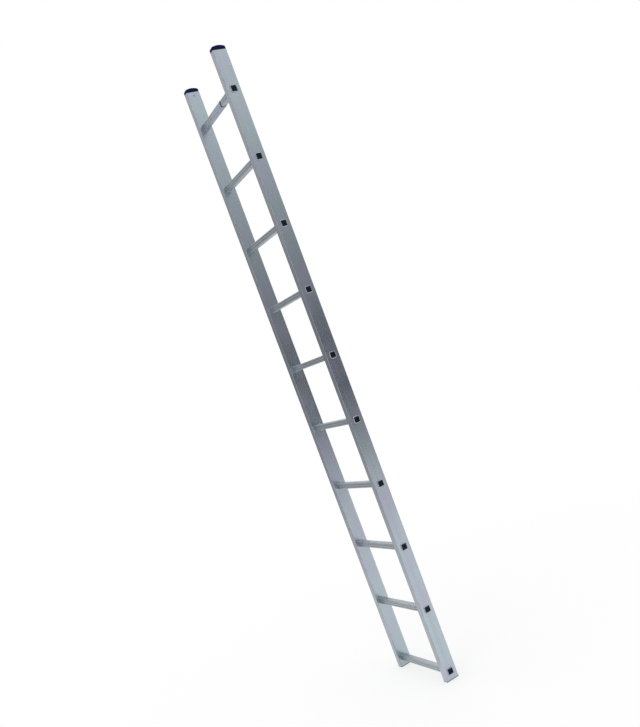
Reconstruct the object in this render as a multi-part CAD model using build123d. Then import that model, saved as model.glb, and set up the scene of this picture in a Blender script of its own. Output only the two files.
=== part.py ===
from build123d import *
import os

# Single section aluminium ladder, standing upright. All sizes are in millimetres.
# Z runs up the stiles from the soles of the feet, X along the rungs with +X to the right,
# and Y through the depth. The origin lies on the floor, midway between the two feet.

# Ladder layout
RUNG_COUNT = 10
RUNG_PITCH = 280.0
OUTER_WIDTH = 390.0
BOTTOM_RUNG_HEIGHT = 38.0
STILE_ABOVE_TOP_RUNG = 160.0

# Stile: extruded box section, narrow side facing the climber
STILE_THICKNESS = 28.0
STILE_DEPTH = 61.0
STILE_WALL = 1.6
STILE_CORNER = 2.0

# Rung: square tube with a grooved surface
RUNG_SIZE = 25.0
RUNG_WALL = 2.0
RUNG_CORNER = 3.0
TREAD_GROOVES = 4
FLUTES = 2
TREAD_GROOVE_WIDTH = 1.6
FLUTE_WIDTH = 3.2
GROOVE_DEPTH = 0.6

# Rung ends: beaded against the inner face of the stile and flared over the outer face
HOLE_CLEARANCE = 0.1
BEAD_LIP = 1.2
BEAD_LENGTH = 2.5
BEAD_EDGE = 0.9
FLARE_LIP = 2.4
FLARE_LENGTH = 2.8
FLARE_EDGE = 2.0
RIM_WIDTH = 2.9
RIM_FLOOR = 0.8

# Black push-in plug in each rung end
PLUG_CLEARANCE = 0.1
PLUG_PROUD = 0.5
PLUG_EDGE = 0.5
PLUG_SHANK_LENGTH = 14.0
PLUG_SHANK_WALL = 1.5
PLUG_DIMPLE_DIAMETER = 4.0
PLUG_DIMPLE_DEPTH = 0.6

# Domed cap on the top of each stile
CAP_CROWN_HEIGHT = 19.5
CAP_SIDE_HEIGHT = 13.0
CAP_SHOULDER_RADIUS = 7.0
CAP_EDGE = 4.0
CAP_OVERHANG = 0.2
CAP_ROOF = 3.5
CAP_SHANK_LENGTH = 30.0
CAP_SHANK_WALL = 2.2
CAP_CLEARANCE = 0.15

# Blind rivet that holds the cap, driven from the inner side of the stile
RIVET_DIAMETER = 3.2
RIVET_HEAD_DIAMETER = 6.4
RIVET_HEAD_HEIGHT = 1.1
RIVET_HEAD_EDGE = 0.8
RIVET_TAIL_DIAMETER = 4.8
RIVET_TAIL_LENGTH = 3.0
RIVET_MANDREL_DIAMETER = 1.9
RIVET_MANDREL_DEPTH = 0.9
RIVET_CLEARANCE = 0.1
RIVET_BELOW_TOP = 16.0

# Foot plug at the bottom of each stile
FOOT_FLANGE = 4.0
FOOT_SHANK_LENGTH = 16.0
FOOT_SHANK_WALL = 2.2
FOOT_CLEARANCE = 0.15
FOOT_EDGE = 0.8
SOLE_GROOVES = 4
SOLE_GROOVE_WIDTH = 3.0
SOLE_GROOVE_DEPTH = 1.2

# Plain film wrapped round the top rung
FILM_LEFT_END = -50.0
FILM_LENGTH = 118.0
FILM_THICKNESS = 0.25

# Positions that follow from the sizes above
OUTER_HALF = OUTER_WIDTH / 2
INNER_HALF = OUTER_HALF - STILE_THICKNESS
STILE_MIDDLE = OUTER_HALF - STILE_THICKNESS / 2
RUNG_END = OUTER_HALF + FLARE_LENGTH
RUNG_HEIGHTS = [BOTTOM_RUNG_HEIGHT + RUNG_PITCH * step for step in range(RUNG_COUNT)]
STILE_TOP = RUNG_HEIGHTS[-1] + STILE_ABOVE_TOP_RUNG
RUNG_BORE = RUNG_SIZE - 2 * RUNG_WALL
RUNG_BORE_CORNER = max(RUNG_CORNER - RUNG_WALL, RUNG_WALL / 4)
MOUTH_SIZE = RUNG_SIZE + 2 * FLARE_LIP - 2 * RIM_WIDTH
MOUTH_CORNER = max(RUNG_CORNER + FLARE_LIP - RIM_WIDTH, RUNG_WALL / 2)
MOUTH_DEPTH = FLARE_LENGTH - RIM_FLOOR
STILE_BORE_THICKNESS = STILE_THICKNESS - 2 * STILE_WALL
STILE_BORE_DEPTH = STILE_DEPTH - 2 * STILE_WALL
STILE_BORE_CORNER = max(STILE_CORNER - STILE_WALL, STILE_WALL / 4)


def bar_along_x(section, x_from, x_to):
    """A bar whose section is drawn in the Y-Z plane, between two places along X."""
    return extrude(Plane.YZ.offset(x_from) * section, x_to - x_from)


def square(size, corner):
    """A square section with rounded corners."""
    return RectangleRounded(size, size, corner)


def hollow_shank(clearance, wall):
    """The open section of a plug that slides into the end of a stile."""
    thickness = STILE_BORE_THICKNESS - 2 * clearance
    depth = STILE_BORE_DEPTH - 2 * clearance
    outside = RectangleRounded(thickness, depth, STILE_BORE_CORNER)
    inside = RectangleRounded(thickness - 2 * wall, depth - 2 * wall, STILE_BORE_CORNER)
    return outside, inside


def to_left(part):
    """The left-hand twin of a piece modelled on the right-hand stile."""
    return mirror(part, about=Plane.YZ)


def make_right_stile():
    """Box section with a square hole through both walls for each rung, and the rivet hole."""
    outside = RectangleRounded(STILE_THICKNESS, STILE_DEPTH, STILE_CORNER)
    inside = RectangleRounded(STILE_BORE_THICKNESS, STILE_BORE_DEPTH, STILE_BORE_CORNER)
    tube = extrude(outside - inside, STILE_TOP - FOOT_FLANGE)
    stile = Pos(STILE_MIDDLE, 0, FOOT_FLANGE) * tube
    hole_section = square(RUNG_SIZE + 2 * HOLE_CLEARANCE, RUNG_CORNER + HOLE_CLEARANCE)
    hole = bar_along_x(hole_section, 0, OUTER_WIDTH)
    for height in RUNG_HEIGHTS:
        stile -= Pos(0, 0, height) * hole
    rivet_hole = bar_along_x(Circle(RIVET_DIAMETER / 2 + RIVET_CLEARANCE), 0, STILE_MIDDLE)
    return stile - Pos(0, 0, STILE_TOP - RIVET_BELOW_TOP) * rivet_hole


def tread_section():
    """Square section with narrow tread grooves above and below and wider flutes front and back."""
    flat = RUNG_SIZE - 2 * RUNG_CORNER
    section = square(RUNG_SIZE, RUNG_CORNER)
    tread_groove = Rectangle(TREAD_GROOVE_WIDTH, 2 * GROOVE_DEPTH)
    flute = Rectangle(2 * GROOVE_DEPTH, FLUTE_WIDTH)
    for side in (-RUNG_SIZE / 2, RUNG_SIZE / 2):
        for place in range(TREAD_GROOVES):
            across = (place + 0.5) * flat / TREAD_GROOVES - flat / 2
            section -= Pos(across, side) * tread_groove
        for place in range(FLUTES):
            across = (place + 0.5) * flat / FLUTES - flat / 2
            section -= Pos(side, across) * flute
    return section


def make_rung_end():
    """Right-hand end of a rung: bead, plain neck through the stile, and flared rim."""
    bead_section = square(RUNG_SIZE + 2 * BEAD_LIP, RUNG_CORNER + BEAD_LIP)
    bead = bar_along_x(bead_section, INNER_HALF - BEAD_LENGTH, INNER_HALF)
    bead_edge = min(BEAD_EDGE, BEAD_LENGTH * 0.75, BEAD_LIP * 0.75)
    bead = fillet(bead.faces().sort_by(Axis.X)[0].edges(), bead_edge)
    neck = bar_along_x(square(RUNG_SIZE, RUNG_CORNER), INNER_HALF, OUTER_HALF)
    flare_section = square(RUNG_SIZE + 2 * FLARE_LIP, RUNG_CORNER + FLARE_LIP)
    flare = bar_along_x(flare_section, OUTER_HALF, RUNG_END)
    rim_edge = min(FLARE_EDGE, FLARE_LENGTH * 0.75, RIM_WIDTH * 0.75)
    flare = fillet(flare.faces().sort_by(Axis.X)[-1].edges(), rim_edge)
    return bead + neck + flare


def make_rung():
    """One rung with its axis on the X axis, hollow from end to end, with a shallow seat in each rim."""
    span = INNER_HALF - BEAD_LENGTH
    right_end = make_rung_end()
    rung = bar_along_x(tread_section(), -span, span) + right_end + to_left(right_end)
    rung -= bar_along_x(square(RUNG_BORE, RUNG_BORE_CORNER), -RUNG_END, RUNG_END)
    mouth = bar_along_x(square(MOUTH_SIZE, MOUTH_CORNER), RUNG_END - MOUTH_DEPTH, RUNG_END)
    return rung - mouth - to_left(mouth)


def make_right_plug():
    """Plug with a flat head that seats inside the flared rim and a hollow shank in the rung's bore."""
    head_section = square(MOUTH_SIZE - 2 * PLUG_CLEARANCE, MOUTH_CORNER - PLUG_CLEARANCE)
    head = bar_along_x(head_section, RUNG_END - MOUTH_DEPTH, RUNG_END + PLUG_PROUD)
    head = chamfer(head.faces().sort_by(Axis.X)[-1].edges(), PLUG_EDGE)
    dimple_from = RUNG_END + PLUG_PROUD - PLUG_DIMPLE_DEPTH
    head -= bar_along_x(Circle(PLUG_DIMPLE_DIAMETER / 2), dimple_from, RUNG_END + PLUG_PROUD)
    shank_size = RUNG_BORE - 2 * PLUG_CLEARANCE
    shank_section = square(shank_size, RUNG_BORE_CORNER)
    shank_section -= square(shank_size - 2 * PLUG_SHANK_WALL, RUNG_BORE_CORNER)
    shank_end = RUNG_END - MOUTH_DEPTH
    return head + bar_along_x(shank_section, shank_end - PLUG_SHANK_LENGTH, shank_end)


def make_right_cap():
    """Cap arched over the depth of the stile, on a hollow shank with the rivet hole in its wall."""
    half_depth = STILE_DEPTH / 2 + CAP_OVERHANG
    half_thickness = STILE_THICKNESS / 2 + CAP_OVERHANG
    left_shoulder = (-half_depth, CAP_SIDE_HEIGHT)
    right_shoulder = (half_depth, CAP_SIDE_HEIGHT)
    outline = Polyline(left_shoulder, (-half_depth, 0), (half_depth, 0), right_shoulder)
    outline += ThreePointArc(right_shoulder, (0, CAP_CROWN_HEIGHT), left_shoulder)
    dome = bar_along_x(make_face(outline), -half_thickness, half_thickness)
    shoulders = dome.edges().filter_by(Axis.X).group_by(Axis.Z)[-1]
    dome = fillet(shoulders, CAP_SHOULDER_RADIUS)
    sides = dome.faces().filter_by(Axis.X)
    rims = [edge for edge in sides.edges() if edge.center().Z > 0]
    dome = fillet(rims, CAP_EDGE)
    outside, inside = hollow_shank(CAP_CLEARANCE, CAP_SHANK_WALL)
    cap = dome + extrude(outside, -CAP_SHANK_LENGTH)
    cap -= Pos(0, 0, -CAP_SHANK_LENGTH) * extrude(inside, CAP_SHANK_LENGTH + CAP_SIDE_HEIGHT - CAP_ROOF)
    rivet_hole = bar_along_x(Circle(RIVET_DIAMETER / 2 + RIVET_CLEARANCE), -STILE_THICKNESS, 0)
    cap -= Pos(0, 0, -RIVET_BELOW_TOP) * rivet_hole
    return Pos(STILE_MIDDLE, 0, STILE_TOP) * cap


def make_right_rivet():
    """Set blind rivet: domed head, shank through both walls, and a bulb behind the cap's wall."""
    wall_end = INNER_HALF + STILE_WALL + CAP_CLEARANCE + CAP_SHANK_WALL
    head = bar_along_x(Circle(RIVET_HEAD_DIAMETER / 2), INNER_HALF - RIVET_HEAD_HEIGHT, INNER_HALF)
    head = fillet(head.faces().sort_by(Axis.X)[0].edges(), min(RIVET_HEAD_EDGE, RIVET_HEAD_HEIGHT * 0.8))
    shank = bar_along_x(Circle(RIVET_DIAMETER / 2), INNER_HALF, wall_end)
    tail = bar_along_x(Circle(RIVET_TAIL_DIAMETER / 2), wall_end, wall_end + RIVET_TAIL_LENGTH)
    head_face = INNER_HALF - RIVET_HEAD_HEIGHT
    mandrel = bar_along_x(Circle(RIVET_MANDREL_DIAMETER / 2), head_face, head_face + RIVET_MANDREL_DEPTH)
    rivet = head + shank + tail - mandrel
    return Pos(0, 0, STILE_TOP - RIVET_BELOW_TOP) * rivet


def make_right_foot():
    """Foot with a flush flange under the stile, grooved across its sole, on a hollow shank."""
    flange = extrude(RectangleRounded(STILE_THICKNESS, STILE_DEPTH, STILE_CORNER), FOOT_FLANGE)
    flange = chamfer(flange.faces().sort_by(Axis.Z)[0].edges(), FOOT_EDGE)
    groove = Box(STILE_THICKNESS, SOLE_GROOVE_WIDTH, 2 * SOLE_GROOVE_DEPTH)
    for place in range(SOLE_GROOVES):
        across = (place + 0.5) * STILE_DEPTH / SOLE_GROOVES - STILE_DEPTH / 2
        flange -= Pos(0, across, 0) * groove
    outside, inside = hollow_shank(FOOT_CLEARANCE, FOOT_SHANK_WALL)
    shank = Pos(0, 0, FOOT_FLANGE) * extrude(outside - inside, FOOT_SHANK_LENGTH)
    return Pos(STILE_MIDDLE, 0, 0) * (flange + shank)


def make_film():
    """Thin sleeve lying on the raised lands of the top rung."""
    sleeve = square(RUNG_SIZE + 2 * FILM_THICKNESS, RUNG_CORNER + FILM_THICKNESS)
    sleeve -= square(RUNG_SIZE, RUNG_CORNER)
    film = bar_along_x(sleeve, FILM_LEFT_END, FILM_LEFT_END + FILM_LENGTH)
    return Pos(0, 0, RUNG_HEIGHTS[-1]) * film


# Every piece by the name of its node
pieces = {"top_rung_film": make_film()}
for name, right_piece in (
    ("stile", make_right_stile()),
    ("top_cap", make_right_cap()),
    ("cap_rivet", make_right_rivet()),
    ("foot", make_right_foot()),
):
    pieces["right_" + name] = right_piece
    pieces["left_" + name] = to_left(right_piece)

rung = make_rung()
right_plug = make_right_plug()
left_plug = to_left(right_plug)
for number, height in enumerate(RUNG_HEIGHTS, start=1):
    pieces[f"rung_{number:02d}"] = Pos(0, 0, height) * rung
    pieces[f"right_rung_plug_{number:02d}"] = Pos(0, 0, height) * right_plug
    pieces[f"left_rung_plug_{number:02d}"] = Pos(0, 0, height) * left_plug

os.makedirs("parts", exist_ok=True)
for name, piece in pieces.items():
    export_step(piece, f"parts/{name}.step")
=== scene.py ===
import bmesh
import bpy
import math
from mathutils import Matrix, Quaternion, Vector

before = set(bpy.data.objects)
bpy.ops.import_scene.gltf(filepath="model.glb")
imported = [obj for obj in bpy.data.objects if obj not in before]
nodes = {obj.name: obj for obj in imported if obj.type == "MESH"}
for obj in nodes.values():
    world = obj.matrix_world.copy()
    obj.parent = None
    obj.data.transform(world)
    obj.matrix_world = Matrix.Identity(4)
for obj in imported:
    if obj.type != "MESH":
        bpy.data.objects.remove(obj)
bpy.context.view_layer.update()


# Stiles: two box sections of extruded aluminium, cut to length and punched through for every rung.
# The metal is left as it leaves the die: satin and cold in colour, streaked along its length by die lines,
# a little warmer or cooler in patches where it was handled, and scuffed dull here and there on its corners.
def box(name):
    """The lowest and the highest corner of a piece of the frame."""
    corners = nodes[name].bound_box
    return Vector(corners[0]), Vector(corners[6])


stile_low, stile_high = box("right_stile")
STILE_CENTRE = (stile_low.x + stile_high.x) / 2
STILE_HALF_WIDTH = (stile_high.x - stile_low.x) / 2
STILE_HALF_DEPTH = (stile_high.y - stile_low.y) / 2

# Real die lines are about 0.2 mm apart; here they are 4.5 mm wide, so that they show from across a room.
DIE_LINE_WIDTH = 0.0045
DIE_LINE_RUN = 2.5
DIE_LINE_HEIGHT = 0.00001
DIE_LINE_LIMITS = 0.35, 0.65
FINE_LINES = 6.0
FINE_SHARE = 0.25
HANDLING_PATCH = 0.14
HANDLING_LIMITS = 0.42, 0.62
GLOSS_LIMITS = 0.75, 1.25

STILE_COLOURS = "#B6C4CB", "#AFBAC2", "#B6BBC9"
STILE_ROUGHNESS = 0.24, 0.32
STILE_SCUFF = "#8A9299"
SCUFF_WIDTH = 0.0026
SCUFF_PATCH = 0.035
SCUFF_LIMITS = 0.40, 0.62
SCUFF_DULLING = 0.2


def linear(hex_colour):
    """The linear colour of an sRGB hex value."""
    parts = [int(hex_colour[i:i + 2], 16) / 255 for i in (1, 3, 5)]
    return [c / 12.92 if c <= 0.04045 else ((c + 0.055) / 1.055) ** 2.4 for c in parts] + [1.0]


def add(tree, kind, sockets=None, **settings):
    """A new node with its settings; each socket gets a value or the output that feeds it."""
    node = tree.nodes.new(kind)
    for name, value in settings.items():
        setattr(node, name, value)
    for name, value in (sockets or {}).items():
        if isinstance(value, bpy.types.NodeSocket):
            tree.links.new(value, node.inputs[name])
        else:
            node.inputs[name].default_value = value
    return node


def new_material(name, **sockets):
    """A material with its shader's plain values set; gives the material, its tree and the shader."""
    material = bpy.data.materials.new(name)
    material.use_nodes = True
    shader = material.node_tree.nodes["Principled BSDF"]
    for socket, value in sockets.items():
        shader.inputs[socket.replace("_", " ")].default_value = value
    return material, material.node_tree, shader


def finish_nodes(names, material):
    """Gives the named pieces of the frame their finish."""
    for name in names:
        for slot in nodes[name].material_slots:
            slot.material = material


def drawn_aluminium(name, colours, line_scale, roughness):
    """Mill finish aluminium with die lines along one axis; gives also its colour and its roughness."""
    clean, streaked, handled = [linear(colour) for colour in colours]
    material, tree, shader = new_material(name, Metallic=1.0)
    place = add(tree, "ShaderNodeTexCoord").outputs["Object"]
    along = add(tree, "ShaderNodeMapping", {"Vector": place, "Scale": line_scale}).outputs["Vector"]
    broad = add(tree, "ShaderNodeTexNoise", {"Vector": along, "Scale": 1.0, "Detail": 3.0}).outputs["Fac"]
    narrow = add(tree, "ShaderNodeTexNoise",
                 {"Vector": along, "Scale": FINE_LINES, "Detail": 2.0}).outputs["Fac"]
    patch = add(tree, "ShaderNodeTexNoise",
                {"Vector": place, "Scale": 1 / HANDLING_PATCH, "Detail": 4.0}).outputs["Fac"]
    streak = add(tree, "ShaderNodeMapRange",
                 {"Value": broad, "From Min": DIE_LINE_LIMITS[0], "From Max": DIE_LINE_LIMITS[1]})
    tint = add(tree, "ShaderNodeMixRGB",
               {"Fac": streak.outputs["Result"], "Color1": clean, "Color2": streaked}).outputs["Color"]
    touched = add(tree, "ShaderNodeMapRange",
                  {"Value": patch, "From Min": HANDLING_LIMITS[0], "From Max": HANDLING_LIMITS[1]})
    tint = add(tree, "ShaderNodeMixRGB",
               {"Fac": touched.outputs["Result"], "Color1": tint, "Color2": handled}).outputs["Color"]
    both = add(tree, "ShaderNodeMath", {0: broad, 1: patch}, operation="ADD").outputs[0]
    gloss = add(tree, "ShaderNodeMapRange",
                {"Value": both, "From Min": GLOSS_LIMITS[0], "From Max": GLOSS_LIMITS[1],
                 "To Min": roughness[0], "To Max": roughness[1]})
    height = add(tree, "ShaderNodeMath", {0: narrow, 1: FINE_SHARE, 2: broad}, operation="MULTIPLY_ADD")
    relief = add(tree, "ShaderNodeBump", {"Height": height.outputs[0], "Distance": DIE_LINE_HEIGHT})
    tree.links.new(relief.outputs["Normal"], shader.inputs["Normal"])
    return material, tree, shader, tint, gloss.outputs["Result"]


stile_lines = (1 / DIE_LINE_WIDTH, 1 / DIE_LINE_WIDTH, 1 / DIE_LINE_RUN)
stile_metal, tree, shader, colour, gloss = drawn_aluminium(
    "extruded aluminium stile", STILE_COLOURS, stile_lines, STILE_ROUGHNESS)
place = add(tree, "ShaderNodeTexCoord").outputs["Object"]
split = add(tree, "ShaderNodeSeparateXYZ", {"Vector": place}).outputs

# A corner is where both the narrow and the broad face are near, each measured inwards from its surface.
across = add(tree, "ShaderNodeMath", {0: split["X"]}, operation="ABSOLUTE").outputs[0]
across = add(tree, "ShaderNodeMath", {0: across, 1: STILE_CENTRE}, operation="SUBTRACT").outputs[0]
across = add(tree, "ShaderNodeMath", {0: across}, operation="ABSOLUTE").outputs[0]
across = add(tree, "ShaderNodeMath", {0: STILE_HALF_WIDTH, 1: across}, operation="SUBTRACT").outputs[0]
depth = add(tree, "ShaderNodeMath", {0: split["Y"]}, operation="ABSOLUTE").outputs[0]
depth = add(tree, "ShaderNodeMath", {0: STILE_HALF_DEPTH, 1: depth}, operation="SUBTRACT").outputs[0]
inset = add(tree, "ShaderNodeMath", {0: across, 1: depth}, operation="MAXIMUM").outputs[0]
corner = add(tree, "ShaderNodeMapRange",
             {"Value": inset, "From Max": SCUFF_WIDTH, "To Min": 1.0, "To Max": 0.0}).outputs["Result"]
worn = add(tree, "ShaderNodeTexNoise",
           {"Vector": place, "Scale": 1 / SCUFF_PATCH, "Detail": 5.0}).outputs["Fac"]
worn = add(tree, "ShaderNodeMapRange",
           {"Value": worn, "From Min": SCUFF_LIMITS[0], "From Max": SCUFF_LIMITS[1]}).outputs["Result"]
scuff = add(tree, "ShaderNodeMath", {0: corner, 1: worn}, operation="MULTIPLY").outputs[0]
colour = add(tree, "ShaderNodeMixRGB", {"Fac": scuff, "Color1": colour, "Color2": linear(STILE_SCUFF)})
tree.links.new(colour.outputs["Color"], shader.inputs["Base Color"])
gloss = add(tree, "ShaderNodeMath", {0: scuff, 1: SCUFF_DULLING, 2: gloss}, operation="MULTIPLY_ADD")
tree.links.new(gloss.outputs[0], shader.inputs["Roughness"])
finish_nodes(["left_stile", "right_stile"], stile_metal)

# Rungs: square aluminium tube with grooved treads, beaded against the inner face of each stile and flared
# over its outer face. The drawing lines run along the tube. The grooves, speckled, and the sides towards
# the beads are painted darker as shade; the tops of the treads are painted lighter as a highlight, and the
# flaring tool has left the rims matt.
bottom_low, bottom_high = box("rung_01")
second_low = box("rung_02")[0]
BOTTOM_RUNG_HEIGHT = (bottom_low.z + bottom_high.z) / 2
HALF_PITCH = (second_low.z - bottom_low.z) / 2
RUNG_HALF = 0.0125
GROOVED_HALF = 0.0083
GROOVE_EDGE = 0.0003
GROOVE_FROM = RUNG_HALF - GROOVE_EDGE
FLARE_GAP = 0.0001
FLARE_FROM = stile_high.x + FLARE_GAP
RUNG_COLOURS = "#C7D0D6", "#BCC5CB", "#C3CBD3"
RUNG_ROUGHNESS = 0.48, 0.58
RIM_COLOUR = "#BEC5CA"
RIM_DULLING = 0.12
TREAD_HIGHLIGHT_COLOUR = "#DCE3E8"
TREAD_HIGHLIGHT_SHARE = 0.5

# The painted shade in the grooves is broken into 6 mm specks, as coarse as they need to be to show.
RUNG_SHADE = "#858C90"
SHADE_SPECK = 0.006
SHADE_DULLING = 0.25
JOINT_SHADE = 0.55
JOINT_SHADE_GAP = 0.004
JOINT_SHADE_RUN = 0.048
JOINT_SHADE_TO = stile_low.x - JOINT_SHADE_GAP
JOINT_SHADE_FROM = JOINT_SHADE_TO - JOINT_SHADE_RUN

rung_lines = (1 / DIE_LINE_RUN, 1 / DIE_LINE_WIDTH, 1 / DIE_LINE_WIDTH)
rung_metal, tree, shader, colour, gloss = drawn_aluminium(
    "grooved aluminium rung", RUNG_COLOURS, rung_lines, RUNG_ROUGHNESS)
place = add(tree, "ShaderNodeTexCoord").outputs["Object"]
split = add(tree, "ShaderNodeSeparateXYZ", {"Vector": place}).outputs

# A place on any rung is known by its reach along the rung and by its depth and height from the rung's axis.
reach = add(tree, "ShaderNodeMath", {0: split["X"]}, operation="ABSOLUTE").outputs[0]
across = add(tree, "ShaderNodeMath", {0: split["Y"]}, operation="ABSOLUTE").outputs[0]
above = add(tree, "ShaderNodeMath", {0: split["Z"], 1: BOTTOM_RUNG_HEIGHT}, operation="SUBTRACT").outputs[0]
above = add(tree, "ShaderNodeMath", {0: above, 1: HALF_PITCH, 2: -HALF_PITCH}, operation="WRAP").outputs[0]
rise = add(tree, "ShaderNodeMath", {0: above}, operation="ABSOLUTE").outputs[0]
upright = add(tree, "ShaderNodeMath", {0: across, 1: rise}, operation="GREATER_THAN").outputs[0]
tread = add(tree, "ShaderNodeMath", {0: above, 1: across}, operation="GREATER_THAN").outputs[0]
flared = add(tree, "ShaderNodeMath", {0: reach, 1: FLARE_FROM}, operation="GREATER_THAN").outputs[0]

# The grooves are what lies below the surface, away from the rounded corners of the tube.
outer = add(tree, "ShaderNodeMath", {0: across, 1: rise}, operation="MAXIMUM").outputs[0]
inner = add(tree, "ShaderNodeMath", {0: across, 1: rise}, operation="MINIMUM").outputs[0]
deep = add(tree, "ShaderNodeMath", {0: outer, 1: GROOVE_FROM}, operation="LESS_THAN").outputs[0]
midway = add(tree, "ShaderNodeMath", {0: inner, 1: GROOVED_HALF}, operation="LESS_THAN").outputs[0]
groove = add(tree, "ShaderNodeMath", {0: deep, 1: midway}, operation="MULTIPLY").outputs[0]
# Painted shade: the grooves are darkened, broken up into specks.
specks = add(tree, "ShaderNodeTexNoise",
             {"Vector": place, "Scale": 1 / SHADE_SPECK, "Detail": 4.0}).outputs["Fac"]
painted_shade = add(tree, "ShaderNodeMath", {0: groove, 1: specks}, operation="MULTIPLY").outputs[0]
# Painted shade: the sides of each rung darken towards the bead against the stile.
joint_shade = add(tree, "ShaderNodeMapRange",
            {"Value": reach, "From Min": JOINT_SHADE_FROM, "From Max": JOINT_SHADE_TO,
             "To Max": JOINT_SHADE}).outputs["Result"]
joint_shade = add(tree, "ShaderNodeMath", {0: joint_shade, 1: upright}, operation="MULTIPLY").outputs[0]
painted_shade = add(tree, "ShaderNodeMath", {0: painted_shade, 1: joint_shade}, operation="MAXIMUM").outputs[0]

# Painted highlight: the tops of the treads are painted lighter along the whole rung.
tread_highlight = add(tree, "ShaderNodeMath", {0: tread, 1: TREAD_HIGHLIGHT_SHARE}, operation="MULTIPLY").outputs[0]
for part, finish in ((tread_highlight, TREAD_HIGHLIGHT_COLOUR), (painted_shade, RUNG_SHADE), (flared, RIM_COLOUR)):
    layer = add(tree, "ShaderNodeMixRGB", {"Fac": part, "Color1": colour, "Color2": linear(finish)})
    colour = layer.outputs["Color"]
tree.links.new(colour, shader.inputs["Base Color"])
for part, dulling in ((painted_shade, SHADE_DULLING), (flared, RIM_DULLING)):
    duller = add(tree, "ShaderNodeMath", {0: part, 1: dulling, 2: gloss}, operation="MULTIPLY_ADD")
    gloss = duller.outputs[0]
tree.links.new(gloss, shader.inputs["Roughness"])
finish_nodes([name for name in nodes if name.startswith("rung_")], rung_metal)

# Rung end plugs: black polyethylene, injection moulded and pushed into the open ends of the rungs.
# The moulded face is half matt, with a fine grain and duller spots. Real mould grain is about 0.2 mm; here
# it is 1.2 mm, so that it shows.
PLUG_COLOURS = "#070D1E", "#0E172A"
PLUG_ROUGHNESS = 0.38, 0.50
PLUG_SPECULAR = 0.15
PLASTIC_IOR = 1.5
MOULD_GRAIN = 0.0012
MOULD_GRAIN_HEIGHT = 0.00004
MOULD_SPOT = 0.009
MOULD_SPOT_LIMITS = 0.35, 0.65


def moulded_plastic(name, colours, roughness, specular):
    """Moulded plastic: a fine grain in its colour and relief, and spots of different gloss."""
    material, tree, shader = new_material(name, Specular_IOR_Level=specular, IOR=PLASTIC_IOR)
    place = add(tree, "ShaderNodeTexCoord").outputs["Object"]
    grain = add(tree, "ShaderNodeTexNoise",
                {"Vector": place, "Scale": 1 / MOULD_GRAIN, "Detail": 2.0}).outputs["Fac"]
    spots = add(tree, "ShaderNodeTexNoise",
                {"Vector": place, "Scale": 1 / MOULD_SPOT, "Detail": 3.0}).outputs["Fac"]
    tint = add(tree, "ShaderNodeMixRGB",
               {"Fac": grain, "Color1": linear(colours[0]), "Color2": linear(colours[1])})
    gloss = add(tree, "ShaderNodeMapRange",
                {"Value": spots, "From Min": MOULD_SPOT_LIMITS[0], "From Max": MOULD_SPOT_LIMITS[1],
                 "To Min": roughness[0], "To Max": roughness[1]})
    tree.links.new(gloss.outputs["Result"], shader.inputs["Roughness"])
    relief = add(tree, "ShaderNodeBump", {"Height": grain, "Distance": MOULD_GRAIN_HEIGHT})
    tree.links.new(relief.outputs["Normal"], shader.inputs["Normal"])
    return material, tree, shader, tint.outputs["Color"]


plug_plastic, tree, shader, colour = moulded_plastic(
    "black moulded polyethylene", PLUG_COLOURS, PLUG_ROUGHNESS, PLUG_SPECULAR)
tree.links.new(colour, shader.inputs["Base Color"])
finish_nodes([name for name in nodes if "_rung_plug_" in name], plug_plastic)

# Top caps: dark blue polypropylene, moulded with an arched top and pressed into the stile tops, where a
# rivet holds each of them. The surface is even and half matt.
CAP_COLOURS = "#0A0F39", "#0E1542"
CAP_ROUGHNESS = 0.32, 0.42
CAP_SPECULAR = 0.05
cap_plastic, tree, shader, colour = moulded_plastic(
    "dark blue moulded polypropylene", CAP_COLOURS, CAP_ROUGHNESS, CAP_SPECULAR)
tree.links.new(colour, shader.inputs["Base Color"])
finish_nodes(["left_top_cap", "right_top_cap"], cap_plastic)

# Cap rivets: small aluminium blind rivets, set by hand from the inner side of each stile. The broken end
# of the steel mandrel leaves a dark pit in the middle of the dull head. The grain of the head is drawn
# coarser than it is, so that it shows.
rivet_low, rivet_high = box("right_cap_rivet")
RIVET_CENTRE = (0.0, 0.0, (rivet_low.z + rivet_high.z) / 2)
ACROSS_HEAD = (0.0, 1.0, 1.0)
RIVET_PIT_RADIUS = 0.00095
RIVET_COLOURS = "#82878D", "#9A9FA5"
RIVET_PIT = "#2E2F32"
RIVET_GRAIN = 0.0015
RIVET_ROUGHNESS = 0.36, 0.54
rivet_metal, tree, shader = new_material("dull aluminium rivet", Metallic=1.0)
place = add(tree, "ShaderNodeTexCoord").outputs["Object"]
away = add(tree, "ShaderNodeVectorMath", {0: place, 1: RIVET_CENTRE}, operation="SUBTRACT")
away = add(tree, "ShaderNodeVectorMath", {0: away.outputs[0], 1: ACROSS_HEAD}, operation="MULTIPLY")
reach = add(tree, "ShaderNodeVectorMath", {0: away.outputs[0]}, operation="LENGTH").outputs["Value"]
head = add(tree, "ShaderNodeMath", {0: reach, 1: RIVET_PIT_RADIUS}, operation="GREATER_THAN").outputs[0]
grain = add(tree, "ShaderNodeTexNoise",
            {"Vector": place, "Scale": 1 / RIVET_GRAIN, "Detail": 3.0}).outputs["Fac"]
tint = add(tree, "ShaderNodeMixRGB",
           {"Fac": grain, "Color1": linear(RIVET_COLOURS[0]), "Color2": linear(RIVET_COLOURS[1])})
tint = add(tree, "ShaderNodeMixRGB",
           {"Fac": head, "Color1": linear(RIVET_PIT), "Color2": tint.outputs["Color"]})
tree.links.new(tint.outputs["Color"], shader.inputs["Base Color"])
gloss = add(tree, "ShaderNodeMapRange",
            {"Value": grain, "To Min": RIVET_ROUGHNESS[0], "To Max": RIVET_ROUGHNESS[1]})
tree.links.new(gloss.outputs["Result"], shader.inputs["Roughness"])
finish_nodes(["left_cap_rivet", "right_cap_rivet"], rivet_metal)
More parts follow.
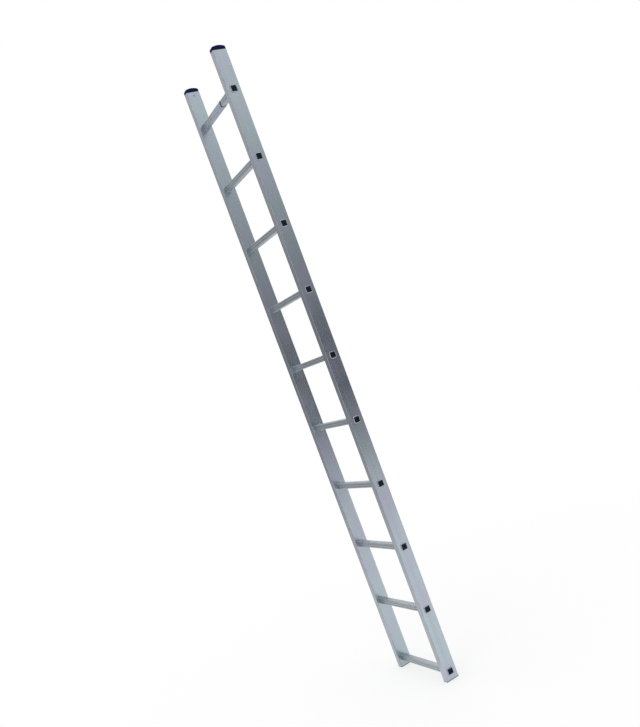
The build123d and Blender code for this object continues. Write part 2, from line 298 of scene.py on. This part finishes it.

# Feet: grey polypropylene plugs, moulded, with a thin flange flush with the stile. The grooved sole
# is coloured darker towards the bottom, where it stands on the floor.
FOOT_COLOURS = "#676D72", "#747B7F"
FOOT_ROUGHNESS = 0.50, 0.65
FOOT_SPECULAR = 0.3
SOLE_DARK = "#424749"
SOLE_DARK_SHARE = 0.6
SOLE_DARK_HEIGHT = 0.0016
foot_plastic, tree, shader, colour = moulded_plastic(
    "grey moulded polypropylene", FOOT_COLOURS, FOOT_ROUGHNESS, FOOT_SPECULAR)
place = add(tree, "ShaderNodeTexCoord").outputs["Object"]
rise = add(tree, "ShaderNodeSeparateXYZ", {"Vector": place}).outputs["Z"]
# The lowest 1.6 mm of each foot is coloured darker towards the bottom.
low = add(tree, "ShaderNodeMapRange",
          {"Value": rise, "From Max": SOLE_DARK_HEIGHT, "To Min": SOLE_DARK_SHARE, "To Max": 0.0})
tint = add(tree, "ShaderNodeMixRGB",
           {"Fac": low.outputs["Result"], "Color1": colour, "Color2": linear(SOLE_DARK)})
tree.links.new(tint.outputs["Color"], shader.inputs["Base Color"])
finish_nodes(["left_foot", "right_foot"], foot_plastic)

# Film band: thin pale polyethylene film, wound once round the top rung. It is drawn tight in fine creases
# round the rung, and its right-hand edge has a dark printed border.
film_high = box("top_rung_film")[1]
FILM_COLOURS = "#848DA1", "#8E96A7"
FILM_ROUGHNESS = 0.28, 0.48
FILM_BORDER = "#1B1C23"
BORDER_WIDTH = 0.010
BORDER_BLUR = 0.0005
BORDER_FROM = film_high.x - BORDER_WIDTH
CREASE_WIDTH = 0.004
CREASE_RUN = 0.030
CREASE_HEIGHT = 0.0006
film_plastic, tree, shader = new_material("pale polyethylene film", IOR=PLASTIC_IOR)
place = add(tree, "ShaderNodeTexCoord").outputs["Object"]
round_rung = (1 / CREASE_WIDTH, 1 / CREASE_RUN, 1 / CREASE_RUN)
creased = add(tree, "ShaderNodeMapping", {"Vector": place, "Scale": round_rung}).outputs["Vector"]
crease = add(tree, "ShaderNodeTexNoise", {"Vector": creased, "Scale": 1.0, "Detail": 3.0}).outputs["Fac"]
tint = add(tree, "ShaderNodeMixRGB",
           {"Fac": crease, "Color1": linear(FILM_COLOURS[0]), "Color2": linear(FILM_COLOURS[1])})
side = add(tree, "ShaderNodeSeparateXYZ", {"Vector": place}).outputs["X"]
border = add(tree, "ShaderNodeMapRange",
             {"Value": side, "From Min": BORDER_FROM, "From Max": BORDER_FROM + BORDER_BLUR})
border = border.outputs["Result"]
tint = add(tree, "ShaderNodeMixRGB",
           {"Fac": border, "Color1": tint.outputs["Color"], "Color2": linear(FILM_BORDER)})
tree.links.new(tint.outputs["Color"], shader.inputs["Base Color"])
gloss = add(tree, "ShaderNodeMapRange",
            {"Value": crease, "To Min": FILM_ROUGHNESS[0], "To Max": FILM_ROUGHNESS[1]})
tree.links.new(gloss.outputs["Result"], shader.inputs["Roughness"])
relief = add(tree, "ShaderNodeBump", {"Height": crease, "Distance": CREASE_HEIGHT})
tree.links.new(relief.outputs["Normal"], shader.inputs["Normal"])
finish_nodes(["top_rung_film"], film_plastic)

# Studio floor: a wide white paper floor. To the eye and in the metal it is as white as the
# background, apart from the soft shadow of the ladder.
FLOOR_RADIUS = 14.0
FLOOR_SEGMENTS = 96
PAPER_COLOUR = "#FBFBFB"
PAPER_ROUGHNESS = 0.9
PAPER_SPECULAR = 0.1
FLOOR_GLOW = 0.6
SHADOW_FROM = 0.5
SHADOW_TO = 2.4
mesh = bpy.data.meshes.new("studio_floor")
bm = bmesh.new()
bmesh.ops.create_circle(bm, cap_ends=True, segments=FLOOR_SEGMENTS, radius=FLOOR_RADIUS)
bm.to_mesh(mesh)
bm.free()
floor = bpy.data.objects.new("studio_floor", mesh)
bpy.context.scene.collection.objects.link(floor)


def seen_directly(tree):
    """One for rays of the camera, of reflections and through glass; zero for light that falls on things."""
    rays = add(tree, "ShaderNodeLightPath").outputs
    seen = rays["Is Camera Ray"]
    for kind in ("Is Glossy Ray", "Is Transmission Ray"):
        seen = add(tree, "ShaderNodeMath", {0: seen, 1: rays[kind]}, operation="MAXIMUM").outputs[0]
    return seen


paper, tree, shader = new_material("white paper floor", Base_Color=linear(PAPER_COLOUR),
                                   Roughness=PAPER_ROUGHNESS, Specular_IOR_Level=PAPER_SPECULAR)
place = add(tree, "ShaderNodeTexCoord").outputs["Object"]
reach = add(tree, "ShaderNodeVectorMath", {0: place}, operation="LENGTH").outputs["Value"]
share = add(tree, "ShaderNodeMapRange",
            {"Value": reach, "From Min": SHADOW_FROM, "From Max": SHADOW_TO,
             "To Min": FLOOR_GLOW, "To Max": 1.0}).outputs["Result"]
share = add(tree, "ShaderNodeMath", {0: seen_directly(tree), 1: share}, operation="MULTIPLY").outputs[0]
glow = add(tree, "ShaderNodeEmission", {"Strength": 1.0})
both = add(tree, "ShaderNodeMixShader", {"Fac": share, 1: shader.outputs[0], 2: glow.outputs[0]})
tree.links.new(both.outputs[0], tree.nodes["Material Output"].inputs["Surface"])
mesh.materials.append(paper)

# Studio screens: two curved grey cloths beside the picture. The right one stands far off; the left one
# hangs nearer and trails over the floor to the ladder. They show only in reflections, darkest at eye level.
# Each tone stands beside its length up the cloth from its foot, which is negative on the floor.
SCREEN_HEIGHT = 6.5
SCREEN_LIFT = 0.002
SCREEN_STEPS = 36
RIGHT_TONES = ((0.0, "#5A545E"), (1.7, "#5A545E"), (3.0, "#A4A8A9"), (4.0, "#BABEBD"), (5.0, "#E2E6E4"),
               (5.8, "#FBFBFB"), (6.5, "#FFFFFF"))
LEFT_TONES = ((-3.3, "#E4E3E3"), (-2.8, "#EDECEA"), (-1.9, "#E6E4E2"), (-0.9, "#DEDCDC"), (0.0, "#CCCACB"),
              (0.7, "#ACA9AC"), (1.2, "#949195"), (1.8, "#949195"), (2.4, "#AAAAA9"), (3.0, "#BDBDBA"),
              (3.6, "#D2D2CF"), (4.3, "#E4E4E1"), (5.4, "#FFFFFF"))


def screen(name, distance, trail, start, turn, tones):
    """A cloth bent round the ladder from one bearing over some degrees, with its foot trailing inwards."""
    mesh = bpy.data.meshes.new(name)
    bm = bmesh.new()
    outwards = Vector((math.cos(math.radians(start)), math.sin(math.radians(start)), 0.0))
    lift = Vector((0.0, 0.0, SCREEN_LIFT))
    front = bm.verts.new(outwards * (distance - trail) + lift)
    foot = bm.verts.new(outwards * distance + lift)
    head = bm.verts.new(outwards * distance + Vector((0.0, 0.0, SCREEN_HEIGHT)))
    profile = [front, foot, head, bm.edges.new((front, foot)), bm.edges.new((foot, head))]
    bmesh.ops.spin(bm, geom=profile, axis=(0, 0, 1), cent=(0, 0, 0), angle=math.radians(turn),
                   steps=SCREEN_STEPS)
    bm.to_mesh(mesh)
    bm.free()
    piece = bpy.data.objects.new(name, mesh)
    bpy.context.scene.collection.objects.link(piece)
    piece.visible_camera = False
    piece.visible_diffuse = False
    piece.visible_shadow = False
    cloth, tree, shader = new_material("grey cloth of the " + name.replace("_", " "))
    tree.nodes.remove(shader)
    place = add(tree, "ShaderNodeTexCoord").outputs["Object"]
    rise = add(tree, "ShaderNodeSeparateXYZ", {"Vector": place}).outputs["Z"]
    flat = add(tree, "ShaderNodeVectorMath", {0: place, 1: (1.0, 1.0, 0.0)}, operation="MULTIPLY")
    reach = add(tree, "ShaderNodeVectorMath", {0: flat.outputs["Vector"]}, operation="LENGTH")
    along = add(tree, "ShaderNodeMath", {0: rise, 1: reach.outputs["Value"]}, operation="ADD").outputs[0]
    share = add(tree, "ShaderNodeMapRange",
                {"Value": along, "From Min": distance - trail, "From Max": distance + SCREEN_HEIGHT})
    ramp = add(tree, "ShaderNodeValToRGB", {"Fac": share.outputs["Result"]})
    stops = ramp.color_ramp.elements
    while len(stops) < len(tones):
        stops.new(1.0)
    for stop, (length, tone) in zip(stops, tones):
        stop.position = (length + trail) / (SCREEN_HEIGHT + trail)
        stop.color = linear(tone)
    glow = add(tree, "ShaderNodeEmission", {"Color": ramp.outputs["Color"]})
    tree.links.new(glow.outputs[0], tree.nodes["Material Output"].inputs["Surface"])
    mesh.materials.append(cloth)


screen("right_screen", distance=8.3, trail=0.0, start=-12, turn=84, tones=RIGHT_TONES)
screen("left_screen", distance=3.4, trail=3.35, start=170, turn=122, tones=LEFT_TONES)

# Light: a white room, and one large softbox above and in front of the ladder that no reflection shows.
# Together they light the ladder at a plain level, at which a colour comes out about as it is written.
ROOM_LIGHT = 0.97
SOFTBOX_PLACE = Vector((2.0, -3.6, 4.4))
SOFTBOX_AIM = Vector((0.0, 0.0, 1.3))
SOFTBOX_SIDE = 2.4
SOFTBOX_POWER = 25.0
world = bpy.data.worlds.new("white studio")
bpy.context.scene.world = world
world.use_nodes = True
tree = world.node_tree
level = add(tree, "ShaderNodeMapRange", {"Value": seen_directly(tree), "To Min": ROOM_LIGHT, "To Max": 1.0})
background = tree.nodes["Background"]
background.inputs["Color"].default_value = (1.0, 1.0, 1.0, 1.0)
tree.links.new(level.outputs["Result"], background.inputs["Strength"])
lamp = bpy.data.lights.new("softbox", "AREA")
lamp.size = SOFTBOX_SIDE
lamp.energy = SOFTBOX_POWER
softbox = bpy.data.objects.new("softbox", lamp)
bpy.context.scene.collection.objects.link(softbox)
softbox.location = SOFTBOX_PLACE
softbox.rotation_mode = "QUATERNION"
softbox.rotation_quaternion = (SOFTBOX_AIM - SOFTBOX_PLACE).to_track_quat("-Z", "Y")
softbox.visible_glossy = False

# Camera: to the right of the ladder at chest height, held askew so that the ladder leans in the picture.
# A normal lens, shifted a little, takes in the whole ladder.
CAMERA_PLACE = Vector((3.0273, -1.5435, 1.4223))
CAMERA_AIM = Vector((0.0, -0.0022, 1.1982))
CAMERA_ROLL = math.radians(-20.48)
SENSOR_WIDTH = 36.0
FOCAL_LENGTH = 39.373
SHIFT_ACROSS = -0.01586
SHIFT_UP = 0.07133
lens = bpy.data.cameras.new("camera")
lens.sensor_width = SENSOR_WIDTH
lens.lens = FOCAL_LENGTH
lens.shift_x = SHIFT_ACROSS
lens.shift_y = SHIFT_UP
camera = bpy.data.objects.new("camera", lens)
bpy.context.scene.collection.objects.link(camera)
camera.location = CAMERA_PLACE
camera.rotation_mode = "QUATERNION"
upright = (CAMERA_AIM - CAMERA_PLACE).to_track_quat("-Z", "Y")
camera.rotation_quaternion = upright @ Quaternion((0, 0, 1), CAMERA_ROLL)
bpy.context.scene.camera = camera
bpy.context.scene.view_settings.view_transform = "Standard"
